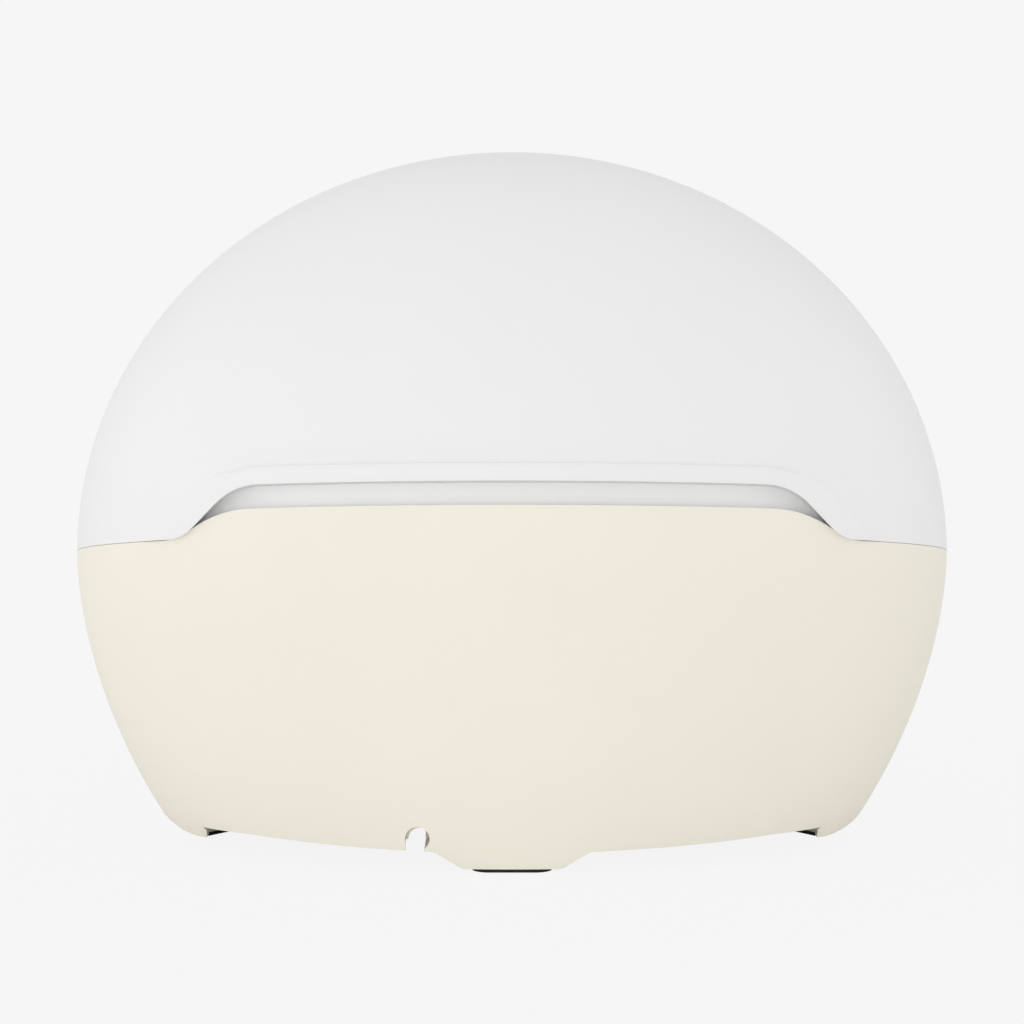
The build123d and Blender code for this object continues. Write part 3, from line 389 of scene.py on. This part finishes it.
# %% Add and join shader nodes
def feed(tree, node, inputs):
    """Gives a node's inputs their values, or joins them to the outputs of other nodes."""
    for name, value in inputs.items():
        if isinstance(value, bpy.types.NodeSocket):
            tree.links.new(value, node.inputs[name])
        else:
            node.inputs[name].default_value = value


def add_node(tree, kind, output, inputs=None, **settings):
    """Adds a shader node with its settings and inputs, and gives its named output."""
    node = tree.nodes.new(f"ShaderNode{kind}")
    for name, value in settings.items():
        setattr(node, name, value)
    feed(tree, node, inputs or {})
    return node.outputs[output]


def new_material(name):
    """A new material, with its node tree and its Principled shader."""
    made = bpy.data.materials.new(name)
    made.use_nodes = True
    return made, made.node_tree, made.node_tree.nodes["Principled BSDF"]


# %% A moulded finish
TONE_SIZE = 0.03  # size of the patches in which the colour drifts
POLISH_SIZE = 0.006  # size of the patches in which the roughness drifts
POLISH_DRIFT = 0.06
GRAIN_STRENGTH = 0.6


def finish(name, colour, roughness, grain=0.0004, depth=0.00001, tint=0.02, metal=0.0):
    """A Principled material whose colour, roughness and surface vary a little over the piece."""
    made, tree, shader = new_material(name)
    place = add_node(tree, "TexCoord", "Object")

    def noise(size, detail):
        return add_node(tree, "TexNoise", "Fac", {"Vector": place, "Scale": 1 / size, "Detail": detail})

    deep, pale = [(*[min(1, c * share) for c in colour], 1) for share in (1 - tint, 1 + tint)]
    tone = add_node(tree, "Mix", "Result", {"Factor": noise(TONE_SIZE, 3), "A": deep, "B": pale},
                    data_type="RGBA")
    polish = add_node(tree, "MapRange", "Result", {
        "Value": noise(POLISH_SIZE, 4),
        "To Min": roughness - POLISH_DRIFT,
        "To Max": roughness + POLISH_DRIFT})
    bump = add_node(tree, "Bump", "Normal", {
        "Height": noise(grain, 2), "Strength": GRAIN_STRENGTH, "Distance": depth})
    feed(tree, shader, {"Base Color": tone, "Roughness": polish, "Normal": bump, "Metallic": metal})
    return made


cream = finish("cream_casing", (0.827, 0.791, 0.689), 0.55)
opal = finish("opal_dome", (0.806, 0.806, 0.806), 0.5, tint=0.008)
key_cream = finish("cream_keys", (0.80, 0.76, 0.655), 0.62)
foot_rubber = finish("foot_rubber", (0.012, 0.011, 0.008), 0.75, grain=0.0005, depth=0.00003)
print("materials so far, with the measured ones:", len(bpy.data.materials))

# %% Finishes of the inside
bright_white = finish("reflective_white", (0.87, 0.87, 0.87), 0.45)
deep_black = finish("black_moulding", (0.035, 0.035, 0.038), 0.5)
frosted = finish("frosted_cover", (0.86, 0.86, 0.84), 0.4)
solder_green = finish("board_mask", (0.03, 0.16, 0.07), 0.35, grain=0.001)
solder_white = finish("lamp_board_mask", (0.85, 0.85, 0.83), 0.35, grain=0.001)
chip_black = finish("chip_body", (0.025, 0.025, 0.028), 0.55)
phosphor = finish("phosphor", (0.9, 0.76, 0.3), 0.35)
digit_warm = finish("digit_light", (1.0, 0.85, 0.6), 0.4)
grille_black = finish("grille_black", (0.06, 0.06, 0.06), 0.6)
bare_aluminium = finish("bare_aluminium", (0.75, 0.76, 0.77), 0.35, grain=0.0003, metal=1.0)
plated_steel = finish("plated_steel", (0.6, 0.6, 0.61), 0.3, grain=0.0003, metal=1.0)
magnet_plate = finish("magnet_plate", (0.28, 0.28, 0.29), 0.4, metal=1.0)
cone_black = finish("cone_paper", (0.04, 0.04, 0.045), 0.85, grain=0.0008, depth=0.00004)
soft_rubber = finish("soft_rubber", (0.03, 0.03, 0.03), 0.8)
contact_brass = finish("contact_brass", (0.72, 0.55, 0.25), 0.3, metal=1.0)
print("materials now:", len(bpy.data.materials))

# %% Paint light onto the floor of the hollow
# painted light: the hollow's floor gets a paler, slightly blue colour that lifts the shade falling there
HOLLOW_PAINTED_LIGHT = (0.925, 0.928, 0.935, 1)
tree = opal.node_tree
shader = tree.nodes["Principled BSDF"]
even_colour = shader.inputs["Base Color"].links[0].from_socket
hollow_light_mask = add_node(tree, "Attribute", "Fac", attribute_name="hollow")
painted_paler = add_node(tree, "Mix", "Result", {"Factor": hollow_light_mask, "A": even_colour, "B": HOLLOW_PAINTED_LIGHT},
                 data_type="RGBA")
feed(tree, shader, {"Base Color": painted_paler})
print("nodes in the opal finish:", len(tree.nodes))

# %% Give every measured piece its finish
FINISH_OF_SLOT = {
    "casing_plastic": cream, "dome_plastic": opal, "key_plastic": key_cream, "inner_white": bright_white,
    "inner_black": deep_black, "clear_cover": frosted, "board_green": solder_green,
    "board_white": solder_white, "component_black": chip_black, "led_yellow": phosphor,
    "digit_light": digit_warm, "grille_plastic": grille_black, "cloth": grille_black,
    "aluminium": bare_aluminium, "steel": plated_steel, "magnet_steel": magnet_plate,
    "cone_paper": cone_black, "foot_rubber": foot_rubber, "soft_rubber": soft_rubber,
    "brass": contact_brass,
}
slot_of_node = {part["node"]: part["material_slot"] for part in clock["record"]["subparts"]}
for name, node in nodes.items():
    for holder in node.material_slots:
        holder.material = FINISH_OF_SLOT[slot_of_node[name]]
print("slots with a finish:", len(FINISH_OF_SLOT))

# %% [markdown]
# ## Dome and casing
# The two smooth copies become finished pieces now. Each rides on a body of the measured model, takes over
# from the measured piece that it copies, and is shaded smoothly. A modifier could split the shading by
# angle, but here the sharp edges are marked in the mesh itself.

# %% Finish a piece
SHARP = math.radians(28)


def crisp(bm):
    """Smooth shading, with an edge kept sharp where the surface turns."""
    bm.normal_update()
    for face in bm.faces:
        face.smooth = True
    for edge in bm.edges:
        edge.smooth = len(edge.link_faces) == 2 and edge.calc_face_angle(0) < SHARP


def add_piece(bm, name, material, body, stands_for):
    """Turns a bmesh into a finished piece that rides on a body and stands for a measured piece."""
    crisp(bm)
    mesh = bpy.data.meshes.new(name)
    bm.to_mesh(mesh)
    bm.free()
    obj = bpy.data.objects.new(name, mesh)
    bpy.context.scene.collection.objects.link(obj)
    mesh.materials.append(material)
    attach(obj, body)
    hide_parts(stands_for)
    print(name, "has", len(mesh.polygons), "faces")
    return obj


add_piece(dome_mesh, "opal_dome", opal, "body", "dome_shell")
add_piece(casing_mesh, "moulded_casing", cream, "body", "casing")

# %% [markdown]
# ## Keys, cover and pads
# The keys already have rounded crowns, and the pads are plain mouldings. Their copies only need their
# triangles joined, so that round places shade smoothly and real edges stay sharp. The bottom cover leaves
# room for the lugs, and its edge is drawn out to them, so that only a fine gap is left all round.

# %% Smooth the keys
for key, body in {"snooze_bar": "snooze", "left_key": "left_button", "right_key": "right_button"}.items():
    add_piece(merged(key), f"soft_{key}", key_cream, body, key)

# %% Draw the cover's edge out to the lugs
COVER_SIDE = 0.045  # edges nearer to the middle stay
COVER_GAP = 0.0003
COVER_REACH = 0.0045
UPRIGHT = 0.3  # an upright face's direction rises by less than this
ONE_WAY = 0.2  # faces that look different ways give a shorter sum than this
OFF_SURFACE = 0.00001


def way_out(v):
    """The level direction in which the upright faces round a corner look, or none."""
    ways = [f.normal for f in v.link_faces if abs(f.normal.z) < UPRIGHT]
    if abs(v.co.x) < COVER_SIDE or not ways:
        return None
    way = sum(ways, Vector())
    way.z = 0
    return way.normalized() if way.length >= ONE_WAY and way.x * v.co.x >= 0 else None


def close_gap(bm, wall):
    """Moves a plate's upright edges out towards a wall, and leaves a fine gap."""
    tree = BVHTree.FromBMesh(wall)
    bm.normal_update()
    moves = {}
    for v in bm.verts:
        way = way_out(v)
        if way is None:
            continue
        distance = tree.ray_cast(v.co + way * OFF_SURFACE, way, COVER_REACH)[3]
        if distance and distance > 2 * COVER_GAP:
            moves[v] = way * (distance - COVER_GAP)
    for v, move in moves.items():
        v.co += move
    return [move.length for move in moves.values()]


measured_casing = merged("casing")
cover_mesh = merged("bottom_cover")
drawn = close_gap(cover_mesh, measured_casing)
measured_casing.free()
print("cover corners moved:", len(drawn), "farthest in mm:", round(1000 * max(drawn), 2))
add_piece(cover_mesh, "ribbed_cover", cream, "body", "bottom_cover")

# %% Smooth the pads
for side in ("rear", "left", "right"):
    add_piece(merged(f"{side}_foot"), f"{side}_pad", foot_rubber, "body", f"{side}_foot")

# %% [markdown]
# ## The cloth on the front
# A woven acoustic cloth is stretched over the grille. It is one sheet: a fine grid, drawn in row by row
# to a slot with round ends and laid on the casing's curve, with its border turned in round the grille's
# edge. A stretched cloth has no folds, so it is shaped by formula and not by simulation. The lit digits
# sit behind it and only their glow comes through, so the grid also keeps how close each of its corners is
# to a lit bar.

# %% Where the cloth goes
CLOTH_HALF_WIDTH = 0.0757
CLOTH_HALF_HEIGHT = 0.0187
CLOTH_MIDDLE = 0.034
CLOTH_INSET = 0.0003
CLOTH_TURN = 0.0009  # radius of its border
STRAIGHT = CLOTH_HALF_WIDTH - CLOTH_HALF_HEIGHT  # half of the slot's straight length


def cloth_front(x, z):
    """Where the cloth's face lies at a place across and a height."""
    along = max(abs(x) - STRAIGHT, 0)
    to_border = CLOTH_HALF_HEIGHT - math.hypot(along, z - CLOTH_MIDDLE)
    short = max(CLOTH_TURN - max(to_border, 0), 0)
    inset = CLOTH_INSET + CLOTH_TURN - math.sqrt(CLOTH_TURN ** 2 - short ** 2)
    across = HALF_WIDTH * side_share(z) - inset
    depth = CASING_FRONT * belly_share(z) - inset
    return MIDDLE.y - depth * math.sqrt(1 - (x / across) ** 2)


print("cloth face at the middle, in mm:", round(1000 * cloth_front(0, CLOTH_MIDDLE), 2))

# %% Where the bars of a digit are
BAR = 0.0017  # thickness of a lit bar
BAR_END = 0.7 * BAR  # how far an upright bar stops from the level ones
DIGIT_HALF_WIDTH = 0.0043 - BAR / 2
DIGIT_HALF_HEIGHT = 0.0085 - BAR / 2
ACROSS = {"top": 1, "middle": 0, "bottom": -1}
UP = {"upper": 1, "lower": -1}
SEVEN = ["top", "upper right", "lower right"]
ZERO = ["top", "bottom", "upper right", "lower right", "upper left", "lower left"]


def digit_bars(middle, names):
    """The two ends of each lit bar of a digit, as (x, z) pairs."""
    bars = []
    for name in names:
        if name in ACROSS:
            z = CLOTH_MIDDLE + ACROSS[name] * DIGIT_HALF_HEIGHT
            reach = DIGIT_HALF_WIDTH - BAR
            bars.append(((middle - reach, z), (middle + reach, z)))
        else:
            row, side = name.split()
            x = middle + (DIGIT_HALF_WIDTH if side == "right" else -DIGIT_HALF_WIDTH)
            near = CLOTH_MIDDLE + UP[row] * BAR_END
            far = CLOTH_MIDDLE + UP[row] * (DIGIT_HALF_HEIGHT - BAR_END)
            bars.append(((x, near), (x, far)))
    return bars


print("bars in a zero:", len(digit_bars(0, ZERO)))

# %% Light up a plain time
PITCH = 0.0124  # from one digit to the next
DIGITS = {-1.1: SEVEN, 0.35: ZERO, 1.45: ZERO}  # each by its place, in pitches from the middle
COLON_PLACE = -0.38
COLON_RISE = 0.0034
bars = [bar for place, names in DIGITS.items() for bar in digit_bars(place * PITCH, names)]
for rise in (-COLON_RISE, COLON_RISE):
    dot = (COLON_PLACE * PITCH, CLOTH_MIDDLE + rise)
    bars.append((dot, dot))
print("lit bars and dots:", len(bars))

# %% How much light comes through
BAR_CORE = 0.35 * BAR  # full light up to here
BAR_FADE = 0.4 * BAR
HALO = 0.12
HALO_REACH = 0.0015
DISPLAY_HALF_WIDTH = 0.03


def glow_at(point, start, end):
    """Light from one bar at a point of the cloth, from 1 on the bar to 0 a little way off."""
    a, b = Vector(start), Vector(end)
    place = Vector((point.x, point.z))
    run = b - a
    share = max(0.0, min(1.0, (place - a).dot(run) / run.length_squared)) if run.length > 0 else 0.0
    gap = (place - a - run * share).length
    return max(1 - soft_step((gap - BAR_CORE) / BAR_FADE), HALO * math.exp(-gap / HALO_REACH))


print("light on a dot and 3 mm beside it:", glow_at(Vector((0, 0, 0)), (0, 0), (0, 0)),
      round(glow_at(Vector((0.003, 0, 0)), (0, 0), (0, 0)), 3))

# %% Lay out the sheet
COLUMNS, ROWS = 300, 76
sheet = bmesh.new()
bmesh.ops.create_grid(sheet, x_segments=COLUMNS, y_segments=ROWS, size=1, calc_uvs=True)
bmesh.ops.rotate(sheet, verts=sheet.verts, cent=(0, 0, 0), matrix=Matrix.Rotation(math.pi / 2, 3, "X"))
for v in sheet.verts:
    rise = CLOTH_HALF_HEIGHT * math.sin(v.co.z * math.pi / 2)
    half = STRAIGHT + math.sqrt(max(0, CLOTH_HALF_HEIGHT ** 2 - rise ** 2))
    x, z = v.co.x * half, CLOTH_MIDDLE + rise
    v.co = (x, cloth_front(x, z), z)
sheet.normal_update()
if sum(face.normal.y for face in sheet.faces) > 0:
    bmesh.ops.reverse_faces(sheet, faces=sheet.faces)
cloth_area = sum(face.calc_area() for face in sheet.faces)
print("cloth area in cm2:", round(10000 * cloth_area, 1))

# %% Keep the weave's map and the glow on the sheet
UV_PER_METRE = 10
uv = sheet.loops.layers.uv.verify()
for face in sheet.faces:
    for loop in face.loops:
        loop[uv].uv = (UV_PER_METRE * loop.vert.co.x, UV_PER_METRE * loop.vert.co.z)
glow = sheet.verts.layers.float.new("glow")
for v in sheet.verts:
    v[glow] = max(glow_at(v.co, *bar) for bar in bars) if abs(v.co.x) < DISPLAY_HALF_WIDTH else 0.0
print("corners that glow:", sum(v[glow] > 0 for v in sheet.verts))

# %% [markdown]
# ## The weave
# An acoustic cloth is a plain weave with fine holes, through which sound and light pass. Over each
# crossing one thread rises. Its crest is painted paler, as painted light, and between the threads the
# cloth is painted darker, as painted shade and as the dark grille seen through the holes. The pattern
# follows the sheet's own map, so that it stretches with the cloth, and the light of the digits is
# brightest where a thread is raised.

# %% Count the threads
THREAD_PITCH = 0.0009


def math_node(tree, operation, a, b=0.0):
    """Works out one step of arithmetic on values or on the outputs of other nodes."""
    return add_node(tree, "Math", "Value", {0: a, 1: b}, operation=operation)


def raised_thread(tree):
    """1 on the crest of the upper thread at each crossing of the weave, and 0 between threads."""
    spot = add_node(tree, "UVMap", "UV")
    count = add_node(tree, "VectorMath", "Vector", {0: spot, "Scale": 1 / (UV_PER_METRE * THREAD_PITCH)},
                     operation="SCALE")
    split = tree.nodes.new("ShaderNodeSeparateXYZ")
    feed(tree, split, {"Vector": count})
    waves = []
    for axis in ("X", "Y"):
        angle = math_node(tree, "MULTIPLY", split.outputs[axis], math.pi)
        waves.append(math_node(tree, "ABSOLUTE", math_node(tree, "SINE", angle)))
    turns = add_node(tree, "TexChecker", "Fac", {"Vector": count, "Scale": 1})
    return add_node(tree, "Mix", "Result", {"Factor": turns, "A": waves[0], "B": waves[1]})


# %% A woven finish
SPECK_SCALE = 700
# painted light and shade of the weave: the share of the tone that comes from the threads' crests and dips
WEAVE_SHADE_SHARE = 0.65  # how much of the tone comes from the threads
SPECK_SHARE = 0.5
WEAVE_STRENGTH = 0.7
WEAVE_DEPTH = 0.00012
GLOW_COLOUR = (1.0, 0.76, 0.42, 1)
GLOW_BETWEEN = 0.75  # light between threads
GLOW_RISE = 0.5  # more of it on a raised thread


def woven(name, thread, shade):
    """A plain weave whose raised threads are painted paler and whose dips are painted darker, as painted
    light and shade, with the glow of the digits.
    """
    made, tree, shader = new_material(name)
    raised = raised_thread(tree)
    place = add_node(tree, "TexCoord", "Object")
    speck = add_node(tree, "TexNoise", "Fac", {"Vector": place, "Scale": SPECK_SCALE, "Detail": 3})
    # the tone: painted light on the crests and painted shade in the dips, with random specks
    tone = math_node(tree, "ADD", math_node(tree, "MULTIPLY", raised, WEAVE_SHADE_SHARE),
                     math_node(tree, "MULTIPLY", speck, SPECK_SHARE))
    colour = add_node(tree, "Mix", "Result", {"Factor": tone, "A": (*shade, 1), "B": (*thread, 1)},
                      data_type="RGBA")
    bump = add_node(tree, "Bump", "Normal", {
        "Height": raised, "Strength": WEAVE_STRENGTH, "Distance": WEAVE_DEPTH})
    lit = add_node(tree, "Attribute", "Fac", attribute_name="glow")
    passed = math_node(tree, "ADD", math_node(tree, "MULTIPLY", raised, GLOW_RISE), GLOW_BETWEEN)
    feed(tree, shader, {
        "Base Color": colour, "Normal": bump, "Roughness": 0.85, "Sheen Weight": 0.25,
        "Emission Color": GLOW_COLOUR, "Emission Strength": math_node(tree, "MULTIPLY", lit, passed)})
    return made


cloth_weave = woven("acoustic_weave", (0.47, 0.435, 0.37), (0.16, 0.145, 0.12))
print("nodes in the weave:", len(cloth_weave.node_tree.nodes))

# %% Stretch it over the grille
CLOTH_THICKNESS = 0.0005
cloth = add_piece(sheet, "stretched_cloth", cloth_weave, "body", "front_cloth")
wall = cloth.modifiers.new("thickness", "SOLIDIFY")
wall.thickness = CLOTH_THICKNESS
wall.offset = -1

# %% [markdown]
# ## Stage
# A camera at the back of the clock, a pale floor and soft light. The sky gives an even fill, a little
# weaker from above, which alone would look flat. So three square lamps on the camera's side model the
# curves, two from above, of which the left one is the stronger, and one from low down, and a lamp at each
# end lights the sides.

# %% Camera
LENS = 124.8  # in millimetres, as lenses are
CAMERA_PLACE = Vector((0, 0.8421, 0.1539))
CAMERA_AIM = Vector((0, -0.0045, 0.0783))


def face_to(obj, place, target):
    """Puts a camera or a lamp at a place and turns it towards a target."""
    obj.location = place
    obj.rotation_mode = "QUATERNION"
    obj.rotation_quaternion = (target - place).to_track_quat("-Z", "Y")


camera = bpy.data.objects.new("camera", bpy.data.cameras.new("camera"))
bpy.context.scene.collection.objects.link(camera)
bpy.context.scene.camera = camera
camera.data.lens = LENS
camera.data.clip_start = 0.01
face_to(camera, CAMERA_PLACE, CAMERA_AIM)
print("camera distance in mm:", round(1000 * (CAMERA_AIM - CAMERA_PLACE).length))

# %% Light
CLOCK_MIDDLE = Vector((0, 0, 0.08))
LAMPS = {  # place, side of the square and power in watts
    "left_lamp": ((0.9, 1.3, 0.5), 1.0, 2.0),
    "right_lamp": ((-0.9, 1.3, 0.5), 1.0, 0.5),
    "low_lamp": ((0.2, 1.2, 0.08), 0.6, 2.6),
    "left_edge_lamp": ((1.3, 0.1, 0.3), 1.0, 2.1),
    "right_edge_lamp": ((-1.3, 0.1, 0.3), 1.0, 1.9),
}
for name, (place, side, power) in LAMPS.items():
    light = bpy.data.lights.new(name, "AREA")
    light.size = side
    light.energy = power
    lamp = bpy.data.objects.new(name, light)
    bpy.context.scene.collection.objects.link(lamp)
    face_to(lamp, Vector(place), CLOCK_MIDDLE)
print("lamps:", len(LAMPS), "power in watts:", round(sum(power for _, _, power in LAMPS.values()), 1))

# %% Sky
PALE = 0.9216  # tone of the background
SKY_LEVEL = 0.875  # fill from the sides
SKY_TOP = 0.785  # fill from straight above


def rays_that_show(tree):
    """1 on the camera's own rays, and 1 on rays that see by a reflection or through something clear."""
    path = tree.nodes.new("ShaderNodeLightPath").outputs
    passed_on = math_node(tree, "MAXIMUM", path["Is Glossy Ray"], path["Is Transmission Ray"])
    return path["Is Camera Ray"], passed_on


world = bpy.data.worlds.new("world")
bpy.context.scene.world = world
world.use_nodes = True
tree = world.node_tree
way = add_node(tree, "TexCoord", "Generated")
split = tree.nodes.new("ShaderNodeSeparateXYZ")
feed(tree, split, {"Vector": way})
strength = add_node(tree, "MapRange", "Result", {
    "Value": split.outputs["Z"], "To Min": SKY_LEVEL, "To Max": SKY_TOP})
feed(tree, tree.nodes["Background"], {"Color": (1, 1, 1, 1), "Strength": strength})
shown = add_node(tree, "Background", "Background", {"Color": (PALE, PALE, PALE, 1)})
share = math_node(tree, "MAXIMUM", *rays_that_show(tree))
sky = add_node(tree, "MixShader", "Shader", {
    "Fac": share, 1: tree.nodes["Background"].outputs["Background"], 2: shown})
feed(tree, tree.nodes["World Output"], {"Surface": sky})
print("nodes in the sky:", len(tree.nodes))

# %% Floor
FLOOR_RADIUS = 6
FLOOR_CORNERS = 96
disc = bmesh.new()
bmesh.ops.create_circle(disc, cap_ends=True, radius=FLOOR_RADIUS, segments=FLOOR_CORNERS)
floor_mesh = bpy.data.meshes.new("floor")
disc.to_mesh(floor_mesh)
disc.free()
floor = bpy.data.objects.new("floor", floor_mesh)
bpy.context.scene.collection.objects.link(floor)
print("floor radius in m:", FLOOR_RADIUS)

# %% Pale paper for the floor
SHADOW_NEAR = 0.1  # out to here, part of the real floor with its shadow shows
SHADOW_FAR = 0.35  # from here on, only the even background tone
EVEN_SHARE = 0.965  # even tone laid over the shadow, while reflections keep all of the shadow
paper, tree, matte = new_material("pale_paper")
floor_mesh.materials.append(paper)
feed(tree, matte, {"Base Color": (0.9, 0.9, 0.9, 1), "Roughness": 1.0, "Specular IOR Level": 0.0})
even = add_node(tree, "Emission", "Emission", {"Color": (PALE, PALE, PALE, 1)})
place = add_node(tree, "TexCoord", "Object")
away = add_node(tree, "VectorMath", "Value", {0: place}, operation="LENGTH")
shares = []
for rays, near_share in zip(rays_that_show(tree), (EVEN_SHARE, 0.0)):
    fade = add_node(tree, "MapRange", "Result", {
        "Value": away, "To Min": near_share, "To Max": 1.0,
        "From Min": SHADOW_NEAR, "From Max": SHADOW_FAR})
    shares.append(math_node(tree, "MULTIPLY", fade, rays))
share = math_node(tree, "MAXIMUM", *shares)
mixed = add_node(tree, "MixShader", "Shader", {"Fac": share, 1: matte.outputs["BSDF"], 2: even})
feed(tree, tree.nodes["Material Output"], {"Surface": mixed})
print("nodes in the paper:", len(tree.nodes))

# %% Finish
bpy.context.scene.view_settings.view_transform = "Standard"
